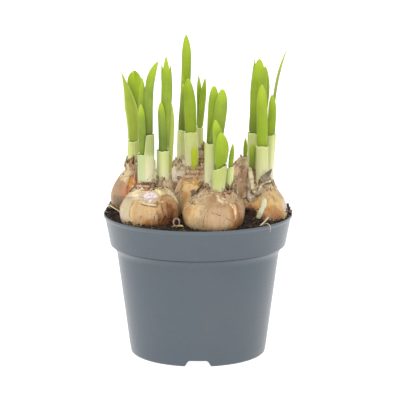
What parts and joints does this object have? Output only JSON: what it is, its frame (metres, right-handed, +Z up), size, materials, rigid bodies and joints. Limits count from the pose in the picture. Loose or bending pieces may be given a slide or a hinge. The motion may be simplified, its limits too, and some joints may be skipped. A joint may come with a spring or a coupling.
{
  "type": "potted daffodil bulbs",
  "caption": "Round grey nursery pot of compost with half-buried daffodil bulbs, their pale sheaths and upright strap leaves just sprouting.",
  "frame": {"origin": "middle of the pot's foot, on the plane it rests on", "axes": "+Z up along the pot's axis, +X to the right in the picture, +Y away from its camera"},
  "size_m": [0.12, 0.12, 0.2006],
  "materials": {
    "pot_plastic": "moulded slate-grey plastic, satin",
    "compost": "dark crumbly potting compost",
    "tan_skin": "dry papery bulb skin, tan with brown veins",
    "orange_skin": "dry papery bulb skin, orange brown",
    "cream_skin": "dry papery bulb skin, cream to pinkish",
    "sheath_skin": "thin pale green sheath, slightly see-through",
    "leaf_green": "fresh yellow-green leaf, faintly ribbed",
    "dry_fibre": "dry pale plant fibre",
    "pale_shoot": "blanched side shoot"
  },
  "bodies": {
    "root": {"pot": "pot_plastic", "soil": "compost", "bulb_left_back": "orange_skin", "bulb_left_front": "tan_skin", "bulb_middle_back": "cream_skin", "bulb_centre": "orange_skin", "bulb_back": "tan_skin", "bulb_front": "tan_skin", "bulb_right_back": "cream_skin", "bulb_right": "orange_skin", "sheath_left_back": "sheath_skin", "sheath_left_front": "sheath_skin", "sheath_left_front_right": "sheath_skin", "sheath_middle_back": "sheath_skin", "sheath_centre": "sheath_skin", "sheath_back": "sheath_skin", "sheath_front": "sheath_skin", "sheath_front_left": "sheath_skin", "sheath_front_right": "sheath_skin", "sheath_right": "sheath_skin", "sheath_right_left": "sheath_skin", "sheath_right_right": "sheath_skin", "leaf_left_back_1": "leaf_green", "leaf_left_back_2": "leaf_green", "leaf_left_front_1": "leaf_green", "leaf_left_front_2": "leaf_green", "leaf_left_front_3": "leaf_green", "leaf_left_front_right_1": "leaf_green", "leaf_left_front_right_2": "leaf_green", "leaf_left_front_right_3": "leaf_green", "leaf_left_front_right_4": "leaf_green", "leaf_middle_back_1": "leaf_green", "leaf_middle_back_2": "leaf_green", "leaf_centre_1": "leaf_green", "leaf_centre_2": "leaf_green", "leaf_back_1": "leaf_green", "leaf_back_2": "leaf_green", "leaf_front_1": "leaf_green", "leaf_front_2": "leaf_green", "leaf_front_left_1": "leaf_green", "leaf_front_left_2": "leaf_green", "leaf_front_right_1": "leaf_green", "leaf_right_1": "leaf_green", "leaf_right_left_1": "leaf_green", "leaf_right_left_2": "leaf_green", "leaf_right_left_3": "leaf_green", "leaf_right_right_1": "leaf_green", "leaf_right_right_2": "leaf_green", "leaf_right_back_1": "leaf_green", "leaf_centre_3": "leaf_green", "leaf_left_front_right_5": "leaf_green", "leaf_right_left_4": "leaf_green", "side_shoot": "pale_shoot", "loose_stick": "dry_fibre", "loose_fibre": "dry_fibre", "loose_straw": "dry_fibre"}
  },
  "joints": []
}
